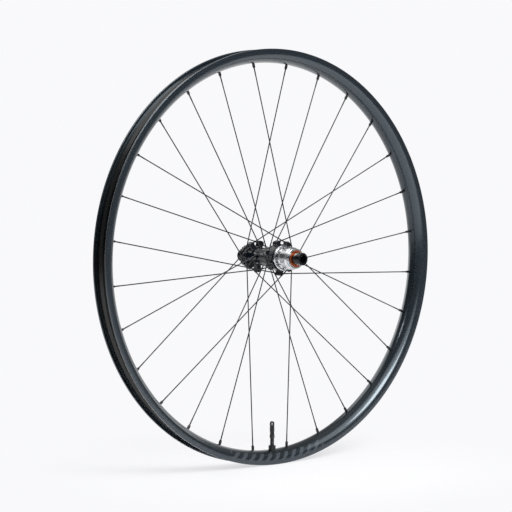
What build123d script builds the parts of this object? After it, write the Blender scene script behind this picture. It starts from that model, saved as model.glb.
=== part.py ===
from build123d import *
import os
from math import acos, asin, atan2, cos, degrees, pi, radians, sin, tan

os.makedirs("parts", exist_ok=True)

# Rear bicycle wheel, upright, its axle along Y and its valve at the bottom.
# The origin is the middle of the axle. The freehub, or drive side, faces -Y,
# and the disc brake side faces +Y. All sizes are in millimetres.

# Rim
bead_seat_radius = 311.0
flange_height = 6.0
flange_wall = 3.0
rim_width = 33.5
rim_depth = 20.4
side_skin = 1.7
nose_skin = 2.6
bed_wall = 1.7
shoulder_drop = 0.4
side_curve_radius = 8.0
nose_offset = 3.0
shelf_width = 4.5
channel_depth = 3.5
channel_width = 12.0
flange_rounding = 1.2
vent_diameter = 2.5
access_hole_diameter = 7.5

# Lacing: straight-pull spokes, crossing in pairs in the lugs of each flange
spoke_count = 28
first_spoke_angle = 96.43
spoke_hole_offset = 4.5
spoke_diameter = 2.0
spoke_middle_diameter = 1.7
spoke_head_diameter = 3.6
spoke_head_length = 1.6
spoke_butt_length = 18.0
spoke_taper_length = 6.0
crossing_spacing = 4.0
pull_directions = (-1, 1, 1, -1)

# Nipples
nipple_length = 12.0
nipple_head_diameter = 6.0
nipple_head_length = 2.4
nipple_collar_diameter = 3.9
nipple_collar_length = 3.6
nipple_flats = 3.3
nipple_tip_diameter = 3.2
nipple_tip_length = 1.2
nipple_spot_depth = 0.4
nipple_head_chamfer = 0.6
nipple_flats_rounding = 0.5

# Hub shell
hub_length = 148.0
drive_flange_station = -21.2
drive_tangent_radius = 24.1
drive_flange_radius = 27.4
drive_scallop_floor = 20.6
disc_flange_station = 37.4
disc_tangent_radius = 21.0
disc_flange_radius = 24.8
disc_scallop_floor = 14.4
flange_thickness = 8.8
lug_half_width = 4.4
scallop_rounding = 2.0
flange_edge_chamfer = 0.6
head_seat_depth = 0.5
lug_count = 7
shell_lip = 0.4
drive_collar_radius = 19.6
drive_taper_length = 2.2
shell_drive_radius = 18.0
shell_waist_radius = 12.8
shell_root_radius = 14.4
root_taper_length = 3.1
shell_bore_radius = 11.0
disc_boss_radius = 17.0
disc_boss_gap = 4.2
disc_boss_taper = 2.9
disc_boss_length = 5.0
disc_shoulder_radius = 18.4
disc_shoulder_width = 2.0
disc_spline_length = 7.0
disc_spline_count = 24
disc_spline_depth = 1.1
disc_spline_gap = 2.0

# Axle and end caps
axle_bore_diameter = 12.1
journal_diameter = 15.0
axle_middle_diameter = 17.6
axle_end_inset = 8.0
end_cap_diameter = 19.0
end_cap_chamfer = 0.6
end_cap_step = 0.4
spacer_diameter = 17.6

# Cartridge bearings
shell_bearing_diameter = 28.0
shell_bearing_width = 7.0
shell_ball_diameter = 3.5
freehub_bearing_diameter = 24.0
freehub_bearing_width = 5.0
freehub_ball_diameter = 2.4
balls_per_bearing = 12
race_groove_depth = 0.35
race_clearance = 0.03
ratchet_to_bearing = 1.9

# Freehub
freehub_gap = 0.7
freehub_length = 31.3
freehub_rim_radius = 19.5
freehub_rim_width = 3.3
freehub_rim_chamfer = 0.7
spline_base_radius = 18.3
spline_base_length = 7.0
barrel_radius = 16.8
barrel_taper_length = 2.0
barrel_end_radius = 15.0
barrel_end_length = 6.0
cog_notch_count = 12
cog_notch_depth = 1.5
cog_notch_width = 3.0
carrier_radius = 14.2
end_ring_radius = 12.75
end_ring_width = 2.2
end_ring_gap = 0.3
freehub_bore_radius = 11.2
carrier_bore_radius = 9.6
ring_inset = 1.7
carrier_inset = 0.6

# Ratchet
ratchet_tooth_count = 24
ratchet_ring_radius = 17.5
ratchet_ring_width = 7.4
ratchet_tip_radius = 14.6
ratchet_tooth_depth = 1.3
ratchet_floor_width = 0.9
ratchet_land = 0.35
pawl_count = 3
first_pawl_angle = 100.0
pawl_side_gap = 0.2
pawl_width = 6.0
pawl_length = 6.4
pawl_pivot_radius = 11.9
pawl_pivot_diameter = 3.0
pawl_nose_diameter = 0.8
pawl_spring_thickness = 0.25
pawl_spring_room = 0.9
pawl_pocket_overswing = 15.0

# Valve
valve_offset = -1.0
valve_stem_diameter = 6.0
valve_bore_diameter = 3.4
valve_stem_length = 35.8
valve_foot_diameter = 10.0
valve_foot_tip_diameter = 8.0
valve_foot_height = 2.6
valve_gasket_height = 1.3
valve_gasket_drape = 1.8
valve_nut_diameter = 11.0
valve_nut_height = 5.4
valve_nut_notch_count = 20
valve_nut_notch_radius = 0.45
valve_core_nut_height = 1.4
valve_pin_length = 4.6
valve_pin_diameter = 1.6
valve_cap_overlap = 3.4
valve_cap_collar_diameter = 7.6
valve_cap_collar_height = 4.7
valve_cap_waist_diameter = 6.6
valve_cap_waist_height = 4.7
valve_cap_window_width = 3.2
valve_cap_window_height = 3.4
valve_cap_pin_bore_diameter = 3.8
valve_cap_knurl_diameter = 7.2
valve_cap_knurl_height = 7.7
valve_cap_knurl_count = 16
valve_cap_knurl_radius = 0.4
valve_cap_loop_height = 8.4
valve_cap_loop_width = 6.8
valve_cap_loop_wall = 1.7
valve_cap_loop_thickness = 3.0

# Clearances
running_clearance = 0.05
seal_clearance = 0.12
hole_clearance = 0.15
thread_clearance = 0.02
tape_thickness = 0.3

# Sizes that follow from those above
rim_radius = bead_seat_radius + flange_height
nose_radius = rim_radius - rim_depth
rim_half_width = rim_width / 2
bed_half_width = rim_half_width - flange_wall
shelf_edge = bed_half_width - shelf_width
channel_edge = channel_width / 2
channel_radius = bead_seat_radius - channel_depth
cavity_top = bead_seat_radius - bed_wall
shoulder_radius = cavity_top - shoulder_drop
nipple_seat_radius = nose_radius + nose_skin - nipple_spot_depth
spoke_pitch = 360 / spoke_count
half_hub = hub_length / 2
axle_bore_radius = axle_bore_diameter / 2
journal_radius = journal_diameter / 2
spacer_radius = spacer_diameter / 2
end_cap_radius = end_cap_diameter / 2
shell_bearing_radius = shell_bearing_diameter / 2
freehub_bearing_radius = freehub_bearing_diameter / 2
disc_boss_start = disc_flange_station + flange_thickness / 2 + disc_boss_gap
disc_shoulder_start = disc_boss_start + disc_boss_length
disc_spline_start = disc_shoulder_start + disc_shoulder_width
disc_end_of_shell = disc_spline_start + disc_spline_length
disc_bearing_outer_face = disc_end_of_shell - end_ring_width + seal_clearance
disc_bearing_inner_face = disc_bearing_outer_face - shell_bearing_width
shell_drive_end = drive_flange_station - flange_thickness / 2 - shell_lip
ring_start = shell_drive_end + ring_inset
ring_stop = ring_start + ratchet_ring_width
carrier_start = ring_stop - carrier_inset
drive_bearing_inner_face = ring_stop + ratchet_to_bearing + shell_bearing_width
freehub_rim_station = shell_drive_end - freehub_gap
freehub_bearing_station = freehub_rim_station - freehub_rim_width
freehub_end = freehub_rim_station - freehub_length
spline_base_end = freehub_bearing_station - spline_base_length
barrel_step_station = freehub_end + barrel_end_length
outer_bearing_outer_face = freehub_end + end_ring_width + end_ring_gap
outer_bearing_inner_face = outer_bearing_outer_face + freehub_bearing_width


def save(part, name):
    """Labels a finished piece and writes its file."""
    part.label = name
    export_step(part, f"parts/{name}.step")


def square_to_axle(station):
    """A sketch plane across the axle, seen from the drive side, facing -Y."""
    return Plane.XZ.offset(-station)


def turned_ring(name, start, stop, inner_radius, outer_radius):
    """A plain ring around the axle, between two stations along it."""
    with BuildPart() as ring:
        with BuildSketch(Plane.YZ):
            with Locations(((start + stop) / 2, (inner_radius + outer_radius) / 2)):
                Rectangle(abs(stop - start), outer_radius - inner_radius)
        revolve(axis=Axis.Y)
    save(ring.part, name)


def oval_quarter(reach, drop, side_radius):
    """The nose arc's radius, and the angle where it meets the side arc, for a quarter of an oval."""
    nose_arc_radius = (reach**2 + drop**2 - 2 * reach * side_radius) / (2 * (drop - side_radius))
    meeting = degrees(atan2(nose_arc_radius - drop, reach - side_radius))
    return nose_arc_radius, meeting


def draw_nose(skin, floor_skin):
    """Draws the rim's curved walls, from the drive side's shoulder round the nose to the disc side's."""
    drop = shoulder_radius - nose_radius - floor_skin
    side_radius = side_curve_radius - skin
    drive_reach = rim_half_width + nose_offset - skin
    disc_reach = rim_half_width - nose_offset - skin
    drive_arc, drive_meeting = oval_quarter(drive_reach, drop, side_radius)
    disc_arc, disc_meeting = oval_quarter(disc_reach, drop, side_radius)
    drive_middle = (nose_offset - drive_reach + side_radius, shoulder_radius)
    disc_middle = (nose_offset + disc_reach - side_radius, shoulder_radius)
    first = CenterArc(drive_middle, side_radius, 180, drive_meeting)
    bottom = shoulder_radius - drop
    CenterArc((nose_offset, bottom + drive_arc), drive_arc, 180 + drive_meeting, 90 - drive_meeting)
    CenterArc((nose_offset, bottom + disc_arc), disc_arc, 270, 90 - disc_meeting)
    last = CenterArc(disc_middle, side_radius, 360 - disc_meeting, disc_meeting)
    return first @ 0, last @ 1


# Rim: a hollow carbon section with a low spoke bed that leans to the disc side
with BuildPart() as rim:
    with BuildSketch(Plane.YZ) as rim_section:
        with BuildLine():
            drive_shoulder, disc_shoulder = draw_nose(0, 0)
            Polyline(
                disc_shoulder,
                (rim_half_width, rim_radius),
                (bed_half_width, rim_radius),
                (bed_half_width, bead_seat_radius),
                (shelf_edge, bead_seat_radius),
                (channel_edge, channel_radius),
                (-channel_edge, channel_radius),
                (-shelf_edge, bead_seat_radius),
                (-bed_half_width, bead_seat_radius),
                (-bed_half_width, rim_radius),
                (-rim_half_width, rim_radius),
                drive_shoulder,
            )
        make_face()
        fillet(rim_section.vertices().group_by(Axis.Y)[-1], radius=flange_rounding)
    revolve(axis=Axis.Y)
    with BuildSketch(Plane.YZ):
        with BuildLine():
            drive_shoulder, disc_shoulder = draw_nose(side_skin, nose_skin)
            Polyline(
                disc_shoulder,
                (rim_half_width - side_skin, cavity_top),
                (shelf_edge, cavity_top),
                (channel_edge, cavity_top - channel_depth),
                (-channel_edge, cavity_top - channel_depth),
                (-shelf_edge, cavity_top),
                (-rim_half_width + side_skin, cavity_top),
                drive_shoulder,
            )
        make_face()
    revolve(axis=Axis.Y, mode=Mode.SUBTRACT)


# Each spoke runs from its lug, where its line is tangent to the lacing circle, to the rim
def spoke_line(number):
    """Where a spoke's head sits, the way that it runs, and how far it is to its nipple's seat."""
    angle = radians(first_spoke_angle - (number - 1) * spoke_pitch)
    pull = pull_directions[(number - 1) % 4]
    on_drive_side = number % 2 == 1
    tangent_radius = drive_tangent_radius if on_drive_side else disc_tangent_radius
    station = drive_flange_station if on_drive_side else disc_flange_station
    station += pull * crossing_spacing / 2
    turn = angle + pull * acos(tangent_radius / nipple_seat_radius)
    tangent = Vector(tangent_radius * cos(turn), station, tangent_radius * sin(turn))
    seat = Vector(nipple_seat_radius * cos(angle), spoke_hole_offset, nipple_seat_radius * sin(angle))
    way = (seat - tangent).normalized()
    past_tangent = tangent_radius * tan(asin(tangent_radius / nipple_seat_radius))
    head = tangent - way * (past_tangent + lug_half_width - head_seat_depth)
    return head, way, (seat - head).length


spoke_lines = [spoke_line(number + 1) for number in range(spoke_count)]

# Rim holes: one for each nipple, drilled along its spoke, and one above it to reach the nipple
nipple_hole_tops = []
access_hole_tops = []
for head, way, reach in spoke_lines:
    seat = head + way * reach
    outward = Vector(seat.X, 0, seat.Z).normalized()
    nipple_hole_tops.append(Plane(seat + way * nipple_head_length, z_dir=way))
    access_hole_tops.append(Plane(outward * bead_seat_radius + Vector(0, seat.Y, 0), z_dir=outward))

with rim:
    with Locations(*nipple_hole_tops):
        CounterBoreHole(
            radius=nipple_collar_diameter / 2 + hole_clearance,
            counter_bore_radius=nipple_head_diameter / 2 + hole_clearance,
            counter_bore_depth=nipple_head_length,
            depth=nipple_head_length + 2 * nose_skin,
        )
    with Locations(*access_hole_tops):
        Hole(radius=access_hole_diameter / 2, depth=channel_depth + 1.5 * bed_wall)
    valve_hole_top = Plane((0, valve_offset, -rim_radius), z_dir=(0, 0, -1))
    with Locations(valve_hole_top):
        Hole(radius=valve_stem_diameter / 2 + hole_clearance, depth=2 * rim_depth)
    vent_top = Plane((nipple_seat_radius + rim_depth / 2, -rim_half_width, 0), z_dir=(0, -1, 0))
    with Locations(vent_top):
        Hole(radius=vent_diameter / 2, depth=2 * side_skin)
save(rim.part, "rim")

# Rim tape: seals the bed and the access holes, from one bead shelf to the other
channel_slope = atan2(channel_depth, shelf_edge - channel_edge)
tape_corner_shift = tape_thickness * tan(channel_slope / 2)
tape_floor = [
    (bed_half_width - tape_thickness, bead_seat_radius),
    (shelf_edge, bead_seat_radius),
    (channel_edge, channel_radius),
]
tape_top = [
    (bed_half_width - tape_thickness, bead_seat_radius + tape_thickness),
    (shelf_edge - tape_corner_shift, bead_seat_radius + tape_thickness),
    (channel_edge - tape_corner_shift, channel_radius + tape_thickness),
]
with BuildPart() as rim_tape:
    with BuildSketch(Plane.YZ):
        with BuildLine():
            Polyline(
                *tape_floor,
                *[(-y, r) for y, r in reversed(tape_floor)],
                *[(-y, r) for y, r in tape_top],
                *reversed(tape_top),
                close=True,
            )
        make_face()
    revolve(axis=Axis.Y)
    with Locations(valve_hole_top):
        Hole(radius=valve_stem_diameter / 2 + hole_clearance, depth=rim_depth)
save(rim_tape.part, "rim_tape")


# Spokes: headed at the hub, thinner in the middle, threaded into their nipples at the rim
for number, (head, way, reach) in enumerate(spoke_lines, start=1):
    across_way = Plane(head, z_dir=way)
    with BuildPart() as spoke:
        with BuildSketch(Plane(head, x_dir=across_way.x_dir, z_dir=-across_way.y_dir)):
            with BuildLine():
                Polyline(
                    (0, -spoke_head_length),
                    (spoke_head_diameter / 2, -spoke_head_length),
                    (spoke_head_diameter / 2, 0),
                    (spoke_diameter / 2, 0),
                    (spoke_diameter / 2, spoke_butt_length),
                    (spoke_middle_diameter / 2, spoke_butt_length + spoke_taper_length),
                    (spoke_middle_diameter / 2, reach - spoke_butt_length - spoke_taper_length),
                    (spoke_diameter / 2, reach - spoke_butt_length),
                    (spoke_diameter / 2, reach + nipple_head_length / 2),
                    (0, reach + nipple_head_length / 2),
                    close=True,
                )
            make_face()
        revolve(axis=Axis(head, way))
    save(spoke.part, f"spoke_{number:02d}")

# Nipples: a head that seats inside the rim, a round collar, wrench flats and a turned tip
nipple_flats_length = nipple_length - nipple_head_length - nipple_collar_length - nipple_tip_length
with BuildPart() as nipple:
    with BuildSketch():
        Circle(nipple_head_diameter / 2)
    extrude(amount=nipple_head_length)
    chamfer(nipple.faces().sort_by(Axis.Z)[-1].edges(), length=nipple_head_chamfer)
    with BuildSketch():
        Circle(nipple_collar_diameter / 2)
    extrude(amount=-nipple_collar_length)
    with BuildSketch(Plane.XY.offset(-nipple_collar_length)):
        RectangleRounded(nipple_flats, nipple_flats, nipple_flats_rounding)
    extrude(amount=-nipple_flats_length)
    with BuildSketch(Plane.XY.offset(-nipple_collar_length - nipple_flats_length)):
        Circle(nipple_tip_diameter / 2)
    extrude(amount=-nipple_tip_length)
    with Locations((0, 0, nipple_head_length)):
        Hole(radius=spoke_diameter / 2 + thread_clearance, depth=nipple_length)

with BuildPart() as nipples:
    with Locations(*[Plane(head + way * reach, z_dir=way) for head, way, reach in spoke_lines]):
        add(nipple.part)
save(nipples.part, "nipples")

# Hub shell: a tapered barrel with two scalloped flanges and a splined boss for the brake disc
lug_turn = 180 / lug_count
drive_lug_angle = first_spoke_angle - 90
disc_lug_angle = first_spoke_angle - spoke_pitch + 90
flanges = (
    (drive_flange_station, drive_flange_radius, drive_scallop_floor, drive_lug_angle),
    (disc_flange_station, disc_flange_radius, disc_scallop_floor, disc_lug_angle),
)


def scallop_half_width(radius):
    """Half the gap between two lugs, whose sides are parallel, at a distance from the axle."""
    return radius * tan(radians(lug_turn)) - lug_half_width / cos(radians(lug_turn))


with BuildPart() as hub_shell:
    for station, radius, floor, lug_angle in flanges:
        cut_radius = radius + lug_half_width
        with BuildSketch(square_to_axle(station)) as flange_outline:
            Circle(radius)
            with PolarLocations(0, lug_count, start_angle=lug_angle + lug_turn):
                Polygon(
                    (floor, -scallop_half_width(floor)),
                    (cut_radius, -scallop_half_width(cut_radius)),
                    (cut_radius, scallop_half_width(cut_radius)),
                    (floor, scallop_half_width(floor)),
                    align=None,
                    mode=Mode.SUBTRACT,
                )
            fillet(flange_outline.vertices(), radius=scallop_rounding)
        extrude(amount=flange_thickness / 2, both=True)
    chamfer(hub_shell.faces().filter_by(Axis.Y).edges(), length=flange_edge_chamfer)
    with BuildSketch(Plane.YZ):
        with BuildLine():
            Polyline(
                (shell_drive_end, drive_collar_radius),
                (drive_flange_station + flange_thickness / 2, drive_collar_radius),
                (drive_flange_station + flange_thickness / 2 + drive_taper_length, shell_drive_radius),
                (disc_flange_station - flange_thickness / 2 - root_taper_length, shell_waist_radius),
                (disc_flange_station - flange_thickness / 2, shell_root_radius),
                (disc_boss_start - disc_boss_taper, shell_root_radius),
                (disc_boss_start, disc_boss_radius),
                (disc_shoulder_start, disc_boss_radius),
                (disc_shoulder_start, disc_shoulder_radius),
                (disc_spline_start, disc_shoulder_radius),
                (disc_spline_start, disc_boss_radius),
                (disc_end_of_shell, disc_boss_radius),
                (disc_end_of_shell, shell_bearing_radius),
                (disc_bearing_inner_face, shell_bearing_radius),
                (disc_bearing_inner_face, shell_bore_radius),
                (drive_bearing_inner_face, shell_bore_radius),
                (drive_bearing_inner_face, shell_bearing_radius),
                (ring_stop, shell_bearing_radius),
                (ring_stop, ratchet_ring_radius),
                (shell_drive_end, ratchet_ring_radius),
                close=True,
            )
        make_face()
    revolve(axis=Axis.Y)
    with BuildSketch(Plane.YZ):
        with BuildLine():
            Polyline(
                (shell_drive_end, 0),
                (shell_drive_end, ratchet_ring_radius),
                (ring_stop, ratchet_ring_radius),
                (ring_stop, shell_bearing_radius),
                (drive_bearing_inner_face, shell_bearing_radius),
                (drive_bearing_inner_face, shell_bore_radius),
                (disc_bearing_inner_face, shell_bore_radius),
                (disc_bearing_inner_face, 0),
                close=True,
            )
        make_face()
    revolve(axis=Axis.Y, mode=Mode.SUBTRACT)
    with BuildSketch(square_to_axle(disc_end_of_shell)):
        with PolarLocations(disc_boss_radius, disc_spline_count):
            Rectangle(2 * disc_spline_depth, disc_spline_gap)
    extrude(amount=disc_spline_length, mode=Mode.SUBTRACT)
    with Locations(*[Plane(head - way * lug_half_width, z_dir=-way) for head, way, reach in spoke_lines]):
        CounterBoreHole(
            radius=spoke_diameter / 2 + hole_clearance,
            counter_bore_radius=spoke_head_diameter / 2 + hole_clearance,
            counter_bore_depth=lug_half_width,
            depth=4 * lug_half_width,
        )
save(hub_shell.part, "hub_shell")


# Axle: a tube that takes the frame's through bolt, with a shoulder for each shell bearing
axle_end = half_hub - axle_end_inset
with BuildPart() as axle:
    with BuildSketch(Plane.YZ):
        with BuildLine():
            Polyline(
                (-axle_end, journal_radius),
                (drive_bearing_inner_face, journal_radius),
                (drive_bearing_inner_face, axle_middle_diameter / 2),
                (disc_bearing_inner_face, axle_middle_diameter / 2),
                (disc_bearing_inner_face, journal_radius),
                (axle_end, journal_radius),
                (axle_end, axle_bore_radius),
                (-axle_end, axle_bore_radius),
                close=True,
            )
        make_face()
    revolve(axis=Axis.Y)
save(axle.part, "axle")

# End caps: each slides over one end of the axle, up to the outermost bearing
for name, side, bearing_face in (
    ("drive_side_end_cap", -1, outer_bearing_outer_face),
    ("disc_side_end_cap", 1, disc_bearing_outer_face),
):
    with BuildPart() as end_cap:
        with BuildSketch(Plane.YZ):
            with BuildLine():
                Polyline(
                    (bearing_face, journal_radius),
                    (bearing_face, spacer_radius),
                    (bearing_face + side * end_cap_step, spacer_radius),
                    (bearing_face + side * end_cap_step, end_cap_radius),
                    (side * (half_hub - end_cap_chamfer), end_cap_radius),
                    (side * half_hub, end_cap_radius - end_cap_chamfer),
                    (side * half_hub, axle_bore_radius),
                    (side * axle_end, axle_bore_radius),
                    (side * axle_end, journal_radius),
                    close=True,
                )
            make_face()
        revolve(axis=Axis.Y)
    save(end_cap.part, name)


# Bearings: an inner ring on the axle, an outer ring in its housing, and a row of balls between
def bearing_ring(name, start, width, bore_radius, outer_radius, ball_diameter, is_inner):
    """One race of a cartridge bearing, with the groove that its balls run in."""
    pitch_radius = (bore_radius + outer_radius) / 2
    race_offset = ball_diameter / 2 - race_groove_depth
    low = bore_radius if is_inner else pitch_radius + race_offset
    high = pitch_radius - race_offset if is_inner else outer_radius
    with BuildPart() as race:
        with BuildSketch(Plane.YZ):
            with Locations((start + width / 2, (low + high) / 2)):
                Rectangle(width, high - low)
            with Locations((start + width / 2, pitch_radius)):
                Circle(ball_diameter / 2 + race_clearance, mode=Mode.SUBTRACT)
        revolve(axis=Axis.Y)
    save(race.part, name)


def faceted_ball(diameter):
    """A bearing ball, simplified to flat facets because it is sealed in."""
    belt_radius = diameter / 2 * cos(radians(22.5))
    cap_radius = diameter / 2 * sin(radians(22.5))
    with BuildPart() as ball:
        for height, radius in (
            (-belt_radius, cap_radius),
            (-cap_radius, belt_radius),
            (cap_radius, belt_radius),
            (belt_radius, cap_radius),
        ):
            with BuildSketch(Plane.XY.offset(height)):
                RegularPolygon(radius, 8)
        loft(ruled=True)
    return ball.part


def ball_rows(name, starts, width, outer_radius, ball_diameter):
    """The balls of two bearings of one size."""
    ball = faceted_ball(ball_diameter)
    pitch_radius = (journal_radius + outer_radius) / 2
    with BuildPart() as balls:
        for start in starts:
            with Locations(square_to_axle(start + width / 2)):
                with PolarLocations(pitch_radius, balls_per_bearing):
                    add(ball)
    save(balls.part, name)


shell_bearings = {
    "drive_side_shell_bearing": drive_bearing_inner_face - shell_bearing_width,
    "disc_side_shell_bearing": disc_bearing_inner_face,
}
freehub_bearings = {
    "inner_freehub_bearing": freehub_bearing_station - freehub_bearing_width,
    "outer_freehub_bearing": outer_bearing_outer_face,
}
for bearings, width, outer_radius, ball_diameter in (
    (shell_bearings, shell_bearing_width, shell_bearing_radius, shell_ball_diameter),
    (freehub_bearings, freehub_bearing_width, freehub_bearing_radius, freehub_ball_diameter),
):
    for name, start in bearings.items():
        for race_name, is_inner in (("inner_ring", True), ("outer_ring", False)):
            bearing_ring(
                f"{name}_{race_name}",
                start,
                width,
                journal_radius,
                outer_radius,
                ball_diameter,
                is_inner,
            )
ball_rows(
    "shell_bearing_balls",
    shell_bearings.values(),
    shell_bearing_width,
    shell_bearing_radius,
    shell_ball_diameter,
)
ball_rows(
    "freehub_bearing_balls",
    freehub_bearings.values(),
    freehub_bearing_width,
    freehub_bearing_radius,
    freehub_ball_diameter,
)

# Spacers: sleeves on the axle that hold the bearings' inner rings apart
with BuildPart() as bearing_spacers:
    for start, stop in (
        (drive_bearing_inner_face - shell_bearing_width, freehub_bearing_station),
        (freehub_bearing_station - freehub_bearing_width, outer_bearing_inner_face),
    ):
        with BuildSketch(square_to_axle(start)):
            Circle(spacer_radius)
            Circle(journal_radius, mode=Mode.SUBTRACT)
        extrude(amount=start - stop)
save(bearing_spacers.part, "bearing_spacers")

# Seals: rings that close the hub at the brake end, inside the drive end and around the end cap
turned_ring(
    "disc_side_seal",
    disc_bearing_outer_face + end_ring_gap,
    disc_end_of_shell,
    end_cap_radius + seal_clearance,
    shell_bearing_radius,
)
turned_ring(
    "freehub_inner_seal",
    shell_drive_end + seal_clearance,
    ring_start - seal_clearance,
    carrier_radius,
    ratchet_ring_radius - seal_clearance,
)
turned_ring(
    "freehub_end_ring",
    freehub_end,
    outer_bearing_outer_face - end_ring_gap,
    end_cap_radius + seal_clearance,
    end_ring_radius,
)

# Ratchet: a toothed ring in the shell, and pawls on the freehub that swing out into it.
# They stand folded in, as when the wheel coasts, and their noses point the way that pedalling turns them.
# Each tooth's driving wall stands square to a pawl that is swung out, which then works as a strut.
pawl_nose_radius = pawl_nose_diameter / 2
folded_radius = carrier_radius - pawl_nose_radius - running_clearance
swung_radius = ratchet_tip_radius + ratchet_tooth_depth - pawl_nose_radius - pawl_side_gap


def turn_at_pivot(nose_distance):
    """A pawl's angle from straight outward, where its nose stands this far from the axle's centre."""
    spread = nose_distance**2 - pawl_pivot_radius**2 - pawl_length**2
    return degrees(acos(spread / (2 * pawl_pivot_radius * pawl_length)))


folded_turn = turn_at_pivot(folded_radius)
swung_turn = turn_at_pivot(swung_radius)
pawl_swing = folded_turn - swung_turn
nose_tip = pawl_length + pawl_nose_radius + running_clearance
wall_distance = nose_tip + pawl_pivot_radius * cos(radians(swung_turn))
tooth_floor_radius = ratchet_tip_radius + ratchet_tooth_depth
tooth_gap = 2 * pi * ratchet_tip_radius / ratchet_tooth_count - ratchet_land


def tooth_point(radius, corner_radius, arc):
    """A point of a gap between teeth, an arc round from where the driving wall meets a circle."""
    turn = acos(wall_distance / corner_radius) + arc / corner_radius
    return radius * cos(turn), radius * sin(turn)


with BuildPart() as drive_ring:
    with BuildSketch(square_to_axle(ring_stop)):
        Circle(ratchet_ring_radius)
        Circle(ratchet_tip_radius, mode=Mode.SUBTRACT)
        with PolarLocations(0, ratchet_tooth_count, start_angle=first_pawl_angle - swung_turn):
            Polygon(
                tooth_point(carrier_radius, carrier_radius, 0),
                tooth_point(tooth_floor_radius, tooth_floor_radius, 0),
                tooth_point(tooth_floor_radius, tooth_floor_radius, ratchet_floor_width),
                tooth_point(ratchet_tip_radius, ratchet_tip_radius, tooth_gap),
                tooth_point(carrier_radius, ratchet_tip_radius, tooth_gap),
                align=None,
                mode=Mode.SUBTRACT,
            )
    extrude(amount=ratchet_ring_width)
save(drive_ring.part, "drive_ring")


def pawl_plane(number, station):
    """A sketch plane on a pawl's pivot, with its nose along +X and the axle below it."""
    turn = first_pawl_angle + number * 360 / pawl_count
    pivot = Vector(pawl_pivot_radius * cos(radians(turn)), station, pawl_pivot_radius * sin(radians(turn)))
    nose_way = radians(turn - folded_turn)
    return Plane(pivot, x_dir=(cos(nose_way), 0, sin(nose_way)), z_dir=(0, -1, 0))


# Freehub body: the pawl carrier, a rim that stops the cogs, a notched base and a plain barrel
with BuildPart() as freehub_body:
    with BuildSketch(Plane.YZ):
        with BuildLine():
            Polyline(
                (carrier_start, carrier_radius),
                (freehub_rim_station, carrier_radius),
                (freehub_rim_station, freehub_rim_radius),
                (freehub_bearing_station + freehub_rim_chamfer, freehub_rim_radius),
                (freehub_bearing_station, freehub_rim_radius - freehub_rim_chamfer),
                (freehub_bearing_station, spline_base_radius),
                (spline_base_end, spline_base_radius),
                (spline_base_end - barrel_taper_length, barrel_radius),
                (barrel_step_station + barrel_taper_length, barrel_radius),
                (barrel_step_station, barrel_end_radius),
                (freehub_end, barrel_end_radius),
                (freehub_end, end_ring_radius),
                (outer_bearing_outer_face, end_ring_radius),
                (outer_bearing_outer_face, freehub_bearing_radius),
                (outer_bearing_inner_face, freehub_bearing_radius),
                (outer_bearing_inner_face, freehub_bore_radius),
                (freehub_bearing_station - freehub_bearing_width, freehub_bore_radius),
                (freehub_bearing_station - freehub_bearing_width, freehub_bearing_radius),
                (freehub_bearing_station, freehub_bearing_radius),
                (freehub_bearing_station, carrier_bore_radius),
                (carrier_start, carrier_bore_radius),
                close=True,
            )
        make_face()
    revolve(axis=Axis.Y)
    with BuildSketch(square_to_axle(freehub_bearing_station)):
        with PolarLocations(spline_base_radius, cog_notch_count):
            Rectangle(2 * cog_notch_depth, cog_notch_width)
    extrude(amount=spline_base_length + barrel_taper_length, mode=Mode.SUBTRACT)
    open_turn = radians(pawl_swing + pawl_pocket_overswing)
    for number in range(pawl_count):
        with BuildSketch(pawl_plane(number, carrier_start)):
            Circle(pawl_pivot_diameter / 2 + running_clearance)
            with Locations((pawl_length, 0)):
                Circle(pawl_nose_radius + pawl_spring_room)
            with Locations((pawl_length * cos(open_turn), pawl_length * sin(open_turn))):
                Circle(pawl_nose_radius + pawl_spring_room / 2)
            make_hull()
        extrude(amount=pawl_width + 2 * pawl_side_gap, mode=Mode.SUBTRACT)
save(freehub_body.part, "freehub_body")

for number in range(pawl_count):
    with BuildPart() as pawl:
        with BuildSketch(pawl_plane(number, carrier_start - pawl_side_gap)):
            Circle(pawl_pivot_diameter / 2)
            with Locations((pawl_length, 0)):
                Circle(pawl_nose_radius)
            make_hull()
        extrude(amount=pawl_width)
    save(pawl.part, f"pawl_{number + 1}")

# Pawl springs: leaves that lie on the pockets' floors and press the pawls outwards
half_leaf = pawl_spring_thickness / 2
pivot_drop = pawl_pivot_diameter / 2
floor_drop = pawl_nose_radius + pawl_spring_room
leaf_start = 0.32 * pawl_length
leaf_bend = 0.6 * pawl_length
leaf_end = 0.92 * pawl_length


def drop_at(distance, nose_drop):
    """How far a straight side lies below the pawl's middle line, at a distance from the pivot."""
    return pivot_drop + (nose_drop - pivot_drop) * distance / pawl_length


leaf_line = (
    (leaf_start, -drop_at(leaf_start, floor_drop) + half_leaf + thread_clearance),
    (leaf_bend, -drop_at(leaf_bend, floor_drop) + half_leaf + thread_clearance),
    (leaf_end, -drop_at(leaf_end, pawl_nose_radius) - half_leaf - running_clearance),
)
with BuildPart() as pawl_springs:
    for number in range(pawl_count):
        with BuildSketch(pawl_plane(number, carrier_start - pawl_side_gap)):
            with BuildLine():
                Polyline(
                    *[(x, y - half_leaf) for x, y in leaf_line],
                    *[(x, y + half_leaf) for x, y in reversed(leaf_line)],
                    close=True,
                )
            make_face()
        extrude(amount=pawl_width)
save(pawl_springs.part, "pawl_springs")

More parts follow.
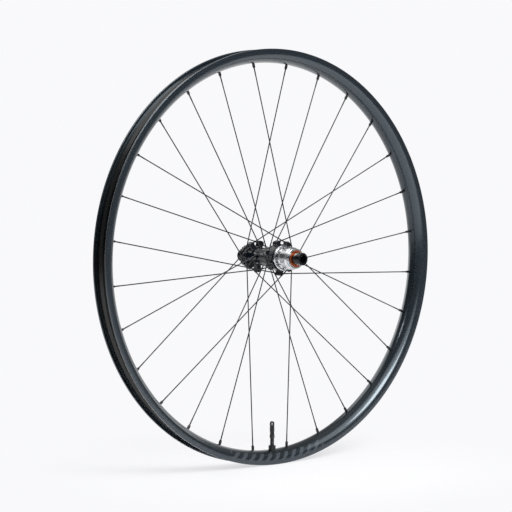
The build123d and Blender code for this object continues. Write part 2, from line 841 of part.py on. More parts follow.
# Valve, upright at the bottom of the rim: foot, stem, core, gasket, nut and cap
valve_axis = Axis((0, valve_offset, 0), (0, 0, 1))
stem_radius = valve_stem_diameter / 2
foot_top = -(channel_radius + tape_thickness)
foot_end = foot_top - valve_foot_height
gasket_top = valve_gasket_height - nose_radius
valve_stem_end = foot_end + valve_stem_length
valve_core_end = valve_stem_end + valve_pin_length
valve_cap_start = valve_stem_end - valve_cap_overlap


def turned_on_valve(name, profile):
    """A piece turned around the valve, from a profile of distances from its axis and heights."""
    with BuildPart() as turned:
        with BuildSketch(square_to_axle(valve_offset)):
            with BuildLine():
                Polyline(*profile, close=True)
            make_face()
        revolve(axis=valve_axis)
    save(turned.part, name)


turned_on_valve(
    "valve_stem",
    (
        (valve_bore_diameter / 2, foot_end),
        (stem_radius, foot_end),
        (stem_radius, valve_stem_end),
        (valve_bore_diameter / 2, valve_stem_end),
    ),
)
turned_on_valve(
    "valve_core",
    (
        (0, foot_end + valve_foot_height),
        (valve_bore_diameter / 2 - thread_clearance, foot_end + valve_foot_height),
        (valve_bore_diameter / 2 - thread_clearance, valve_stem_end + valve_core_nut_height),
        (valve_pin_diameter / 2, valve_stem_end + valve_core_nut_height),
        (valve_pin_diameter / 2, valve_core_end),
        (0, valve_core_end),
    ),
)

# Valve seals: a rubber foot on the rim tape, and a gasket that fits the rim under the nut
with BuildPart() as valve_seals:
    with BuildSketch(Plane((0, valve_offset, gasket_top))):
        Circle(valve_nut_diameter / 2)
        Circle(stem_radius + thread_clearance, mode=Mode.SUBTRACT)
    extrude(amount=-(valve_gasket_height + valve_gasket_drape))
    add(rim.part, mode=Mode.SUBTRACT)
    with BuildSketch(square_to_axle(valve_offset)):
        with BuildLine():
            Polyline(
                (stem_radius, foot_end),
                (valve_foot_tip_diameter / 2, foot_end),
                (valve_foot_diameter / 2, foot_top),
                (stem_radius, foot_top),
                close=True,
            )
        make_face()
    revolve(axis=valve_axis)
save(valve_seals.part, "valve_seals")

with BuildPart() as valve_lock_nut:
    with BuildSketch(Plane((0, valve_offset, gasket_top))):
        Circle(valve_nut_diameter / 2)
        Circle(stem_radius + thread_clearance, mode=Mode.SUBTRACT)
        with PolarLocations(valve_nut_diameter / 2, valve_nut_notch_count):
            Circle(valve_nut_notch_radius, mode=Mode.SUBTRACT)
    extrude(amount=valve_nut_height)
save(valve_lock_nut.part, "valve_lock_nut")

collar_top = valve_cap_start + valve_cap_collar_height
waist_top = collar_top + valve_cap_waist_height
knurl_top = waist_top + valve_cap_knurl_height
loop_middle = knurl_top + valve_cap_loop_height / 2
with BuildPart() as valve_cap:
    with BuildSketch(Plane((0, valve_offset, valve_cap_start))):
        Circle(valve_cap_collar_diameter / 2)
    extrude(amount=valve_cap_collar_height)
    with BuildSketch(Plane((0, valve_offset, collar_top))):
        Circle(valve_cap_waist_diameter / 2)
    extrude(amount=valve_cap_waist_height)
    with BuildSketch(Plane((0, valve_offset, waist_top))):
        Circle(valve_cap_knurl_diameter / 2)
        with PolarLocations(valve_cap_knurl_diameter / 2, valve_cap_knurl_count):
            Circle(valve_cap_knurl_radius, mode=Mode.SUBTRACT)
    extrude(amount=valve_cap_knurl_height)
    with BuildSketch(square_to_axle(valve_offset)):
        with Locations((0, loop_middle - valve_cap_loop_thickness / 4)):
            SlotOverall(
                valve_cap_loop_height + valve_cap_loop_thickness / 2, valve_cap_loop_width, rotation=90
            )
        with Locations((0, loop_middle)):
            SlotOverall(
                valve_cap_loop_height - 2 * valve_cap_loop_wall,
                valve_cap_loop_width - 2 * valve_cap_loop_wall,
                rotation=90,
                mode=Mode.SUBTRACT,
            )
    extrude(amount=valve_cap_loop_thickness / 2, both=True)
    with Locations(Plane((0, valve_offset, valve_cap_start), z_dir=(0, 0, -1))):
        CounterBoreHole(
            radius=valve_cap_pin_bore_diameter / 2,
            counter_bore_radius=stem_radius + thread_clearance,
            counter_bore_depth=valve_stem_end - valve_cap_start + running_clearance,
            depth=valve_core_end - valve_cap_start + running_clearance,
        )
    with BuildSketch(square_to_axle(valve_offset)):
        with Locations((0, collar_top + valve_cap_waist_height / 2)):
            Rectangle(valve_cap_window_width, valve_cap_window_height)
    extrude(amount=valve_cap_collar_diameter, both=True, mode=Mode.SUBTRACT)
save(valve_cap.part, "valve_cap")
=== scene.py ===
import math
from functools import partial

import bmesh
import bpy
from bpy.props import FloatProperty, FloatVectorProperty, IntProperty, PointerProperty
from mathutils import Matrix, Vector


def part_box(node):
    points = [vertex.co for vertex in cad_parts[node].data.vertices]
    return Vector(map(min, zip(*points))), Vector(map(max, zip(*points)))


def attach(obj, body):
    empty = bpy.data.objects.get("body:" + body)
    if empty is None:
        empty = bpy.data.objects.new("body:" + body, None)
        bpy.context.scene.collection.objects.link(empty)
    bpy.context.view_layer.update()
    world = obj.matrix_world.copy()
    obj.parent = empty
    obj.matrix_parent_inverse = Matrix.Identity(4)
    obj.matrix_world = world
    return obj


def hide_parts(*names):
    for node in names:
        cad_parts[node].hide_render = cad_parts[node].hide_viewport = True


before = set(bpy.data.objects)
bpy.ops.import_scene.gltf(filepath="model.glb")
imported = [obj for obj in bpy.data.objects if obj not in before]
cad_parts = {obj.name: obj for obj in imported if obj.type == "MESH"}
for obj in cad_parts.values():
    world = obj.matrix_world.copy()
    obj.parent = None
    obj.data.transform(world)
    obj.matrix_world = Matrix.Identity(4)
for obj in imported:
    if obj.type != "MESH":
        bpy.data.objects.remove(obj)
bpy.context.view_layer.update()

bl_info = {
    "name": "Bicycle wheel dresser",
    "version": (1, 0, 0),
    "blender": (4, 5, 0),
    "location": "3D View > Sidebar > Wheel",
    "description": "Gives a rear bicycle wheel its smooth shapes, its finishes and a plain studio",
    "category": "Object",
}

MM = 0.001


def linear(hex_colour):
    """Turns an sRGB hex colour into the linear red, green, blue and alpha that Blender works in."""
    channels = [int(hex_colour[i:i + 2], 16) / 255 for i in (1, 3, 5)]
    return (*(c / 12.92 if c <= 0.04045 else ((c + 0.055) / 1.055) ** 2.4 for c in channels), 1.0)


def feed(tree, node, inputs):
    """Fills a node's inputs, by name or number: a socket or a node is linked, a value is set."""
    for key, value in inputs.items():
        if isinstance(value, bpy.types.Node):
            value = next(socket for socket in value.outputs if socket.enabled)
        if isinstance(value, bpy.types.NodeSocket):
            tree.links.new(value, node.inputs[key])
        else:
            node.inputs[key].default_value = value


def add_node(tree, kind, inputs=None, **settings):
    """Adds a node with its settings, and fills its inputs."""
    made = tree.nodes.new(kind)
    for name, value in settings.items():
        setattr(made, name, value)
    feed(tree, made, inputs or {})
    return made


def new_material(name):
    """An empty node material, its tree, its shader, and the place on the object in millimetres."""
    material = bpy.data.materials.new(name)
    material.use_nodes = True
    tree = material.node_tree
    tree.nodes.clear()
    shader = add_node(tree, "ShaderNodeBsdfPrincipled")
    add_node(tree, "ShaderNodeOutputMaterial", {"Surface": shader})
    metres = add_node(tree, "ShaderNodeTexCoord").outputs["Object"]
    place = add_node(tree, "ShaderNodeVectorMath", {0: metres, "Scale": 1 / MM}, operation="SCALE")
    return material, tree, shader, place


def tonal_bars(tree, place, radius, hoop_radius):
    """Where the ink lies, from 0 to 1: slanted bars on the drive side's wall, at the bottom of the wheel."""
    finishes = bpy.context.scene.wheel_finish
    # The row lies 300.5 to 311 mm from the axle, and 8 to 18 mm out on the drive side
    row_middle, row_half_height = 305.75, 5.25
    wall_out, wall_half = 13, 5
    # A bar takes up 40 percent of its pitch, and its edges and the row's are a little soft
    bar_half, bar_faded = 0.2, 0.26
    row_fades, row_ends = 0.93, 1.0
    x, y, z = add_node(tree, "ShaderNodeSeparateXYZ", {0: place}).outputs
    down = add_node(tree, "ShaderNodeMath", {0: z, 1: -1.0}, operation="MULTIPLY")
    turn = add_node(tree, "ShaderNodeMath", {0: x, 1: down}, operation="ARCTAN2")
    row = add_node(tree, "ShaderNodeCombineXYZ", {0: turn, 1: radius, 2: y})
    pitch = finishes.bar_pitch / MM
    beats = (hoop_radius / pitch, finishes.bar_slant / pitch, 0)
    beat = add_node(tree, "ShaderNodeVectorMath", {0: row, 1: beats}, operation="DOT_PRODUCT")
    swing = add_node(tree, "ShaderNodeMath", {0: beat, 1: 0.5}, operation="PINGPONG")
    bar = add_node(tree, "ShaderNodeMapRange", {0: swing, 1: bar_half, 2: bar_faded, 3: 1.0, 4: 0.0})
    half_turn = finishes.bar_row_length / MM / hoop_radius / 2
    boxed = add_node(
        tree,
        "ShaderNodeVectorMath",
        {
            0: row,
            1: (1 / half_turn, 1 / row_half_height, 1 / wall_half),
            2: (0, -row_middle / row_half_height, wall_out / wall_half),
        },
        operation="MULTIPLY_ADD",
    )
    sides = add_node(tree, "ShaderNodeVectorMath", {0: boxed}, operation="ABSOLUTE")
    far = add_node(tree, "ShaderNodeSeparateXYZ", {0: sides}).outputs
    further = add_node(tree, "ShaderNodeMath", {0: far[0], 1: far[1]}, operation="MAXIMUM")
    furthest = add_node(tree, "ShaderNodeMath", {0: further, 1: far[2]}, operation="MAXIMUM")
    return add_node(tree, "ShaderNodeMapRange", {0: furthest, 1: row_fades, 2: row_ends, 3: bar, 4: 0.0})


def carbon_laminate(name):
    """Carbon laminate, moulded and lacquered: near black, with faint streaks of fibre under a soft gloss."""
    finishes = bpy.context.scene.wheel_finish
    material, tree, shader, place = new_material(name)
    flat = add_node(tree, "ShaderNodeVectorMath", {0: place, 1: (1, 0, 1)}, operation="MULTIPLY")
    outward = add_node(tree, "ShaderNodeVectorMath", {0: flat}, operation="NORMALIZE")
    radius = add_node(tree, "ShaderNodeVectorMath", {0: flat}, operation="LENGTH")
    # Fibre tows lie along the hoop. They are 3 mm wide, and drawn 60 mm long so that the streaks show.
    tow_width, tow_length, hoop_radius = 3, 60, 305
    tows = (0, 1 / tow_width, 0)
    across = add_node(tree, "ShaderNodeVectorMath", {0: place, 1: tows}, operation="MULTIPLY")
    along = add_node(
        tree,
        "ShaderNodeVectorMath",
        {0: outward, 1: (hoop_radius / tow_length,) * 3, 2: across},
        operation="MULTIPLY_ADD",
    )
    deep = add_node(tree, "ShaderNodeMath", {0: radius, 1: tow_width}, operation="DIVIDE")
    streaks = add_node(
        tree,
        "ShaderNodeTexNoise",
        {"Vector": along, "W": deep, "Scale": 1.0, "Detail": 4.0},
        noise_dimensions="4D",
    )
    tone = add_node(
        tree, "ShaderNodeMix", {0: streaks, 6: finishes.rim_dark, 7: finishes.rim_light}, data_type="RGBA"
    )
    ink = tonal_bars(tree, place, radius, hoop_radius)
    inked = add_node(tree, "ShaderNodeMix", {0: ink, 6: tone, 7: finishes.bar_colour}, data_type="RGBA")
    # Cloudy patches about 40 mm across, where the resin is a little richer, and the bars' matt ink
    clouds = add_node(tree, "ShaderNodeTexNoise", {"Vector": place, "Scale": 1 / 40, "Detail": 3.0})
    smooth = add_node(tree, "ShaderNodeMapRange", {0: clouds, 3: 0.18, 4: 0.28})
    rough = add_node(tree, "ShaderNodeMapRange", {0: ink, 3: smooth, 4: 0.4})
    # The lacquer's faint orange peel, about 2 mm from crest to crest
    peel = add_node(tree, "ShaderNodeTexNoise", {"Vector": place, "Scale": 1 / 2, "Detail": 2.0})
    bump = add_node(tree, "ShaderNodeBump", {"Height": peel, "Strength": 0.03, "Distance": 0.0002})
    # The graphite's own sheen is cool, and shows through the lacquer
    layers = {
        "Base Color": inked,
        "Roughness": rough,
        "IOR": 1.62,
        "Specular Tint": finishes.rim_sheen,
        "Coat Weight": 1.0,
        "Coat IOR": 1.4,
        "Coat Roughness": 0.12,
        "Normal": bump,
    }
    feed(tree, shader, layers)
    return material


def tape_film(name):
    """Polyester sealing tape, stretched on: a black film with faint ripples across it."""
    material, tree, shader, place = new_material(name)
    flat = add_node(tree, "ShaderNodeVectorMath", {0: place, 1: (1, 0, 1)}, operation="MULTIPLY")
    outward = add_node(tree, "ShaderNodeVectorMath", {0: flat}, operation="NORMALIZE")
    # Stretch ripples run 18 mm across the tape, and repeat about every 5 mm along it
    ripple_length, ripple_pitch, hoop_radius = 18, 5, 311
    ripples = (0, 1 / ripple_length, 0)
    across = add_node(tree, "ShaderNodeVectorMath", {0: place, 1: ripples}, operation="MULTIPLY")
    along = add_node(
        tree,
        "ShaderNodeVectorMath",
        {0: outward, 1: (hoop_radius / ripple_pitch,) * 3, 2: across},
        operation="MULTIPLY_ADD",
    )
    ripple = add_node(tree, "ShaderNodeTexNoise", {"Vector": along, "Scale": 1.0, "Detail": 3.0})
    tones = {0: ripple, 6: linear("#050607"), 7: linear("#0C0D0F")}
    tone = add_node(tree, "ShaderNodeMix", tones, data_type="RGBA")
    rough = add_node(tree, "ShaderNodeMapRange", {0: ripple, 3: 0.14, 4: 0.24})
    bump = add_node(tree, "ShaderNodeBump", {"Height": ripple, "Strength": 0.1, "Distance": 0.0003})
    feed(tree, shader, {"Base Color": tone, "Roughness": rough, "Normal": bump})
    return material


def blackened_steel(name):
    """Stainless spoke wire, cold drawn and black oxide coated: a soft charcoal sheen with a faint mottle."""
    material, tree, shader, place = new_material(name)
    # The oxide's mottle is about 6 mm across
    mottle = add_node(tree, "ShaderNodeTexNoise", {"Vector": place, "Scale": 1 / 6, "Detail": 4.0})
    tones = {0: mottle, 6: linear("#17181B"), 7: linear("#2B2D31")}
    tone = add_node(tree, "ShaderNodeMix", tones, data_type="RGBA")
    rough = add_node(tree, "ShaderNodeMapRange", {0: mottle, 3: 0.3, 4: 0.46})
    feed(tree, shader, {"Base Color": tone, "Roughness": rough, "Metallic": 0.5})
    return material


def turned_aluminium(name, dark, light, roughness, metallic=0.0, gloss=0.5, coat=0.0, axis=1):
    """Aluminium turned on a lathe and anodised: soft rings round its axis, and a slightly uneven dye."""
    material, tree, shader, place = new_material(name)
    along = add_node(tree, "ShaderNodeSeparateXYZ", {0: place}).outputs[axis]
    # Lathe rings are about 0.1 mm apart, and drawn 1.5 mm apart so that they show
    spacing = add_node(tree, "ShaderNodeMath", {0: along, 1: 1.5}, operation="DIVIDE")
    rings = add_node(
        tree, "ShaderNodeTexNoise", {"W": spacing, "Scale": 1.0, "Detail": 2.0}, noise_dimensions="1D"
    )
    # The dye's cloudiness, 9 mm across
    clouds = add_node(tree, "ShaderNodeTexNoise", {"Vector": place, "Scale": 1 / 9, "Detail": 3.0})
    mixed = add_node(tree, "ShaderNodeMix", {0: 0.5, 2: rings, 3: clouds}, data_type="FLOAT")
    tone = add_node(tree, "ShaderNodeMix", {0: mixed, 6: linear(dark), 7: linear(light)}, data_type="RGBA")
    rough = add_node(tree, "ShaderNodeMapRange", {0: rings, 3: roughness * 0.75, 4: roughness * 1.25})
    layers = {
        "Base Color": tone,
        "Roughness": rough,
        "Metallic": metallic,
        "Specular IOR Level": gloss,
        "Coat Weight": coat,
        "Coat Roughness": 0.05,
    }
    feed(tree, shader, layers)
    return material


def bearing_steel(name):
    """Hardened bearing steel, ground: bright and close-grained, with a trace of oil."""
    material, tree, shader, place = new_material(name)
    # The grinding's grain is drawn 1.25 mm across so that it shows
    grain = add_node(tree, "ShaderNodeTexNoise", {"Vector": place, "Scale": 1 / 1.25, "Detail": 4.0})
    tones = {0: grain, 6: linear("#8E9195"), 7: linear("#B4B7BA")}
    tone = add_node(tree, "ShaderNodeMix", tones, data_type="RGBA")
    rough = add_node(tree, "ShaderNodeMapRange", {0: grain, 3: 0.16, 4: 0.3})
    feed(tree, shader, {"Base Color": tone, "Roughness": rough, "Metallic": 1.0})
    return material


def seal_rubber(name):
    """Nitrile rubber, moulded: matt black with a fine pebble."""
    material, tree, shader, place = new_material(name)
    # The mould's pebble is about 0.5 mm across
    pebble = add_node(tree, "ShaderNodeTexNoise", {"Vector": place, "Scale": 1 / 0.5, "Detail": 3.0})
    tones = {0: pebble, 6: linear("#0C0D0E"), 7: linear("#181A1C")}
    tone = add_node(tree, "ShaderNodeMix", tones, data_type="RGBA")
    rough = add_node(tree, "ShaderNodeMapRange", {0: pebble, 3: 0.55, 4: 0.7})
    bump = add_node(tree, "ShaderNodeBump", {"Height": pebble, "Strength": 0.25, "Distance": 0.0001})
    feed(tree, shader, {"Base Color": tone, "Roughness": rough, "Normal": bump})
    return material


FINISHES = {
    "carbon_laminate_clear_lacquer": carbon_laminate,
    "polyester_tape_film": tape_film,
    "stainless_wire_black_oxide": blackened_steel,
    "bearing_steel_ground": bearing_steel,
    "nitrile_rubber_moulded": seal_rubber,
    # The hub shell was polished before it was dyed, so it mirrors the room in a deep black
    "aluminium_polished_black_anodised": partial(
        turned_aluminium, dark="#04070C", light="#0A0F17", roughness=0.1, gloss=0.4, coat=0.3
    ),
    # The end caps have the same dye on a satin surface
    "aluminium_satin_black_anodised": partial(
        turned_aluminium, dark="#050607", light="#0C0E10", roughness=0.16, gloss=0.3, coat=0.2
    ),
    # Nipples and valve are dyed as turned, so they are greyer, and the valve's rings go round an upright axis
    "aluminium_black_anodised": partial(turned_aluminium, dark="#0B0C0D", light="#17191B", roughness=0.3),
    "aluminium_black_anodised_valve": partial(
        turned_aluminium, dark="#0B0C0D", light="#17191B", roughness=0.24, axis=2
    ),
    # The freehub's body and the axle have no dye, only the bright metal
    "aluminium_bright_turned": partial(
        turned_aluminium, dark="#BEC1C4", light="#DCDEE0", roughness=0.2, metallic=1.0
    ),
    # The freehub's end ring has an orange dye that lets the metal shine through
    "aluminium_orange_anodised": partial(
        turned_aluminium, dark="#9C431F", light="#C46A3C", roughness=0.26, metallic=0.8
    ),
}


def finish(name):
    """The named finish, made once."""
    return bpy.data.materials.get(name) or FINISHES[name](name)


def paint(node_names, material):
    """Gives CAD nodes a finish as they are."""
    for name in node_names:
        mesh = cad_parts[name].data
        mesh.materials.clear()
        mesh.materials.append(material)


def smoothed(name, node_names, material, body):
    """A merged, smooth-shaded copy of CAD nodes that shows in their place."""
    merging_distance, sharp_angle = 2e-6, 28.0
    joined = bmesh.new()
    for node_name in node_names:
        joined.from_mesh(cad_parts[node_name].data)
    bmesh.ops.remove_doubles(joined, verts=joined.verts, dist=merging_distance)
    mesh = bpy.data.meshes.new(name)
    joined.to_mesh(mesh)
    joined.free()
    # The nodes' own normals were for unmerged corners, so they would round the edges off
    stale = mesh.attributes.get("custom_normal")
    if stale:
        mesh.attributes.remove(stale)
    mesh.materials.clear()
    mesh.materials.append(material)
    mesh.polygons.foreach_set("material_index", [0] * len(mesh.polygons))
    mesh.shade_smooth()
    mesh.set_sharp_from_angle(angle=math.radians(sharp_angle))
    made = bpy.data.objects.new(name, mesh)
    bpy.context.scene.collection.objects.link(made)
    weigh = made.modifiers.new("Weighted normals", "WEIGHTED_NORMAL")
    weigh.keep_sharp = True
    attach(made, body)
    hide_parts(*node_names)


def from_tree(name, mesh, tree, inputs, body, sharp_angle):
    """Runs a Geometry Nodes tree on a mesh and keeps the result as a plain mesh that rides on a body."""
    made = bpy.data.objects.new(name, mesh)
    bpy.context.scene.collection.objects.link(made)
    modifier = made.modifiers.new("Shape", "NODES")
    modifier.node_group = tree
    for item in tree.interface.items_tree:
        if item.item_type == "SOCKET" and item.in_out == "INPUT" and item.name in inputs:
            modifier[item.identifier] = inputs[item.name]
    evaluated = made.evaluated_get(bpy.context.evaluated_depsgraph_get())
    result = bpy.data.meshes.new_from_object(evaluated)
    made.modifiers.remove(modifier)
    made.data = result
    if len(result.polygons) == 0:
        raise RuntimeError(f"{name} came out empty")
    result.shade_smooth()
    result.set_sharp_from_angle(angle=math.radians(sharp_angle))
    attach(made, body)
    return made


def new_tree(name, inputs):
    """An empty Geometry Nodes tree with named inputs, its group input and a function that ends it."""
    tree = bpy.data.node_groups.new(name, "GeometryNodeTree")
    tree.interface.new_socket(name="Geometry", in_out="INPUT", socket_type="NodeSocketGeometry")
    tree.interface.new_socket(name="Geometry", in_out="OUTPUT", socket_type="NodeSocketGeometry")
    for socket_name, socket_type in inputs:
        tree.interface.new_socket(name=socket_name, in_out="INPUT", socket_type=socket_type)
    source = add_node(tree, "NodeGroupInput")

    def end(geometry):
        real = add_node(tree, "GeometryNodeRealizeInstances", {0: geometry})
        dressed = add_node(tree, "GeometryNodeSetMaterial", {0: real, "Material": source.outputs["Material"]})
        add_node(tree, "NodeGroupOutput", {0: dressed})
    return tree, source.outputs, end


def swept_section_tree():
    """Carries a section round the axle: one copy of its points at each step, joined into a closed skin."""
    tree, given, end = new_tree(
        "Section round the axle",
        (
            ("Steps", "NodeSocketInt"),
            ("Vent Radius", "NodeSocketFloat"),
            ("Vent Place", "NodeSocketVector"),
            ("Material", "NodeSocketMaterial"),
        ),
    )
    count = add_node(tree, "GeometryNodeAttributeDomainSize", {0: given["Geometry"]}).outputs["Point Count"]
    columns = add_node(tree, "ShaderNodeMath", {0: given["Steps"], 1: 1.0}, operation="ADD")
    rows = add_node(tree, "ShaderNodeMath", {0: count, 1: 1.0}, operation="ADD")
    grid = add_node(tree, "GeometryNodeMeshGrid", {"Vertices X": columns, "Vertices Y": rows})
    # A grid's points are numbered column by column, so the point's number gives its column and its row
    index = add_node(tree, "GeometryNodeInputIndex")
    middle = add_node(tree, "ShaderNodeMath", {0: index, 1: 0.5}, operation="ADD")
    share = add_node(tree, "ShaderNodeMath", {0: middle, 1: rows}, operation="DIVIDE")
    column = add_node(tree, "ShaderNodeMath", {0: share}, operation="FLOOR")
    passed = add_node(tree, "ShaderNodeMath", {0: column, 1: rows}, operation="MULTIPLY")
    row = add_node(tree, "ShaderNodeMath", {0: index, 1: passed}, operation="SUBTRACT")
    whole = add_node(tree, "ShaderNodeMath", {0: row}, operation="ROUND")
    wrapped = add_node(tree, "ShaderNodeMath", {0: whole, 1: count}, operation="FLOORED_MODULO")
    position = add_node(tree, "GeometryNodeInputPosition")
    point = add_node(
        tree,
        "GeometryNodeSampleIndex",
        {0: given["Geometry"], "Value": position, "Index": wrapped},
        data_type="FLOAT_VECTOR",
        domain="POINT",
    )
    done = add_node(tree, "ShaderNodeMath", {0: column, 1: given["Steps"]}, operation="DIVIDE")
    turn = add_node(tree, "ShaderNodeMath", {0: done, 1: math.tau}, operation="MULTIPLY")
    turned = add_node(
        tree, "ShaderNodeVectorRotate", {"Vector": point, "Angle": turn}, rotation_type="Y_AXIS"
    )
    placed = add_node(tree, "GeometryNodeSetPosition", {0: grid, "Position": turned})
    merged = add_node(tree, "GeometryNodeMergeByDistance", {0: placed, "Distance": 1e-6})
    # The vent is a small hole through the drive side's wall
    drill_facets, drill_length = 24, 4 * MM
    drill = add_node(
        tree,
        "GeometryNodeMeshCylinder",
        {"Vertices": drill_facets, "Radius": given["Vent Radius"], "Depth": drill_length},
    )
    aimed = add_node(
        tree,
        "GeometryNodeTransform",
        {0: drill, "Translation": given["Vent Place"], "Rotation": (math.pi / 2, 0, 0)},
    )
    drilled = add_node(
        tree, "GeometryNodeMeshBoolean", {0: merged, 1: aimed}, operation="DIFFERENCE", solver="EXACT"
    )
    end(drilled)
    return tree


def thread_tree():
    """A screw thread: a fine wire wound round a cylinder along Z, then tilted and moved to its place."""
    tree, given, end = new_tree(
        "Screw thread",
        (
            ("Radius", "NodeSocketFloat"),
            ("Length", "NodeSocketFloat"),
            ("Turns", "NodeSocketFloat"),
            ("Crest", "NodeSocketFloat"),
            ("Place", "NodeSocketVector"),
            ("Tilt", "NodeSocketFloat"),
            ("Material", "NodeSocketMaterial"),
        ),
    )
    steps_per_turn, wire_sides = 32, 4
    spiral = add_node(
        tree,
        "GeometryNodeCurveSpiral",
        {
            "Resolution": steps_per_turn,
            "Rotations": given["Turns"],
            "Start Radius": given["Radius"],
            "End Radius": given["Radius"],
            "Height": given["Length"],
        },
    )
    wire = add_node(
        tree,
        "GeometryNodeCurvePrimitiveCircle",
        {"Resolution": wire_sides, "Radius": given["Crest"]},
        mode="RADIUS",
    )
    wound = add_node(tree, "GeometryNodeCurveToMesh", {0: spiral, 1: wire, "Fill Caps": True})
    tilt = add_node(tree, "ShaderNodeCombineXYZ", {0: given["Tilt"]})
    placed = add_node(
        tree, "GeometryNodeTransform", {0: wound, "Translation": given["Place"], "Rotation": tilt}
    )
    end(placed)
    return tree


class WheelRimSettings(bpy.types.PropertyGroup):
    """Sizes of the rim's visible skin."""

    bead_seat_radius: FloatProperty(
        name="Bead seat radius", description="Where the tyre's beads sit", default=0.311, unit="LENGTH"
    )
    flange_height: FloatProperty(
        name="Flange height",
        description="How far the walls stand above the bead seat",
        default=0.006,
        unit="LENGTH",
    )
    flange_wall: FloatProperty(
        name="Flange wall",
        description="Thickness of the walls that hold the tyre",
        default=0.003,
        unit="LENGTH",
    )
    flange_rounding: FloatProperty(
        name="Flange rounding",
        description="Rounding of the walls' outer edges",
        default=0.0006,
        unit="LENGTH",
    )
    width: FloatProperty(name="Width", description="Outside width of the rim", default=0.0335, unit="LENGTH")
    depth: FloatProperty(
        name="Depth", description="From the flange's edge to the nose", default=0.0204, unit="LENGTH"
    )
    nose_offset: FloatProperty(
        name="Nose offset",
        description="How far the nose leans to the brake side",
        default=0.003,
        unit="LENGTH",
    )
    side_curve: FloatProperty(
        name="Side curve",
        description="Radius of the curve below each side wall",
        default=0.0085,
        unit="LENGTH",
    )
    wall_curve: FloatProperty(
        name="Wall curve", description="Radius of the side walls' slight crown", default=0.06, unit="LENGTH"
    )
    wall_tilt: FloatProperty(
        name="Wall tilt",
        description="How far the foot of each wall leans in",
        default=math.radians(7),
        subtype="ANGLE",
    )
    shelf_width: FloatProperty(
        name="Shelf width", description="Width of each bead shelf", default=0.0045, unit="LENGTH"
    )
    channel_depth: FloatProperty(
        name="Channel depth", description="Depth of the centre channel", default=0.0035, unit="LENGTH"
    )
    channel_width: FloatProperty(
        name="Channel width", description="Width of the centre channel's floor", default=0.012, unit="LENGTH"
    )
    steps: IntProperty(name="Steps", description="Facets around the rim", default=540, min=48)
    vent_diameter: FloatProperty(
        name="Vent diameter", description="Small hole that lets moisture out", default=0.0025, unit="LENGTH"
    )
    vent_radius: FloatProperty(
        name="Vent's distance", description="From the axle to the vent", default=0.307, unit="LENGTH"
    )


class WheelThreadSettings(bpy.types.PropertyGroup):
    """Sizes of the two screw threads that show."""

    freehub_radius: FloatProperty(
        name="Freehub thread", description="Radius of the freehub's thread", default=0.01495, unit="LENGTH"
    )
    freehub_length: FloatProperty(
        name="Freehub thread length", description="Along the axle", default=0.0045, unit="LENGTH"
    )
    freehub_turns: FloatProperty(
        name="Freehub thread turns", description="One for each millimetre", default=4.5
    )
    freehub_crest: FloatProperty(
        name="Freehub thread crest", description="How far its crest stands out", default=0.0002, unit="LENGTH"
    )
    freehub_start: FloatProperty(
        name="Freehub thread start", description="From the body's outer end", default=0.0053, unit="LENGTH"
    )
    valve_radius: FloatProperty(
        name="Valve thread", description="Radius of the stem's thread", default=0.003, unit="LENGTH"
    )
    valve_pitch: FloatProperty(
        name="Valve thread pitch", description="From one turn to the next", default=0.0008, unit="LENGTH"
    )
    valve_crest: FloatProperty(
        name="Valve thread crest", description="How far its crest stands out", default=0.00018, unit="LENGTH"
    )
    valve_gap: FloatProperty(
        name="Valve thread gap", description="Bare stem at each end", default=0.0003, unit="LENGTH"
    )
    valve_offset: FloatProperty(
        name="Valve offset", description="The stem's place along the axle", default=-0.001, unit="LENGTH"
    )


class WheelFinishSettings(bpy.types.PropertyGroup):
    """Colours and marks."""

    rim_dark: FloatVectorProperty(
        name="Rim, dark",
        description="Laminate between its streaks",
        subtype="COLOR",
        size=4,
        default=linear("#0B1014"),
    )
    rim_light: FloatVectorProperty(
        name="Rim, light",
        description="Laminate on its streaks",
        subtype="COLOR",
        size=4,
        default=linear("#141B21"),
    )
    rim_sheen: FloatVectorProperty(
        name="Rim sheen",
        description="Tint of the laminate's gloss",
        subtype="COLOR",
        size=4,
        default=linear("#CDE6F7"),
    )
    bar_colour: FloatVectorProperty(
        name="Bars",
        description="Tonal bars on the drive side",
        subtype="COLOR",
        size=4,
        default=linear("#34383D"),
    )
    bar_pitch: FloatProperty(
        name="Bar pitch", description="From one bar to the next, along the hoop", default=0.016, unit="LENGTH"
    )
    bar_slant: FloatProperty(
        name="Bar slant", description="How far a bar leans for each unit of height", default=1.1
    )
    bar_row_length: FloatProperty(
        name="Bar row length", description="Length of the row of bars", default=0.19, unit="LENGTH"
    )


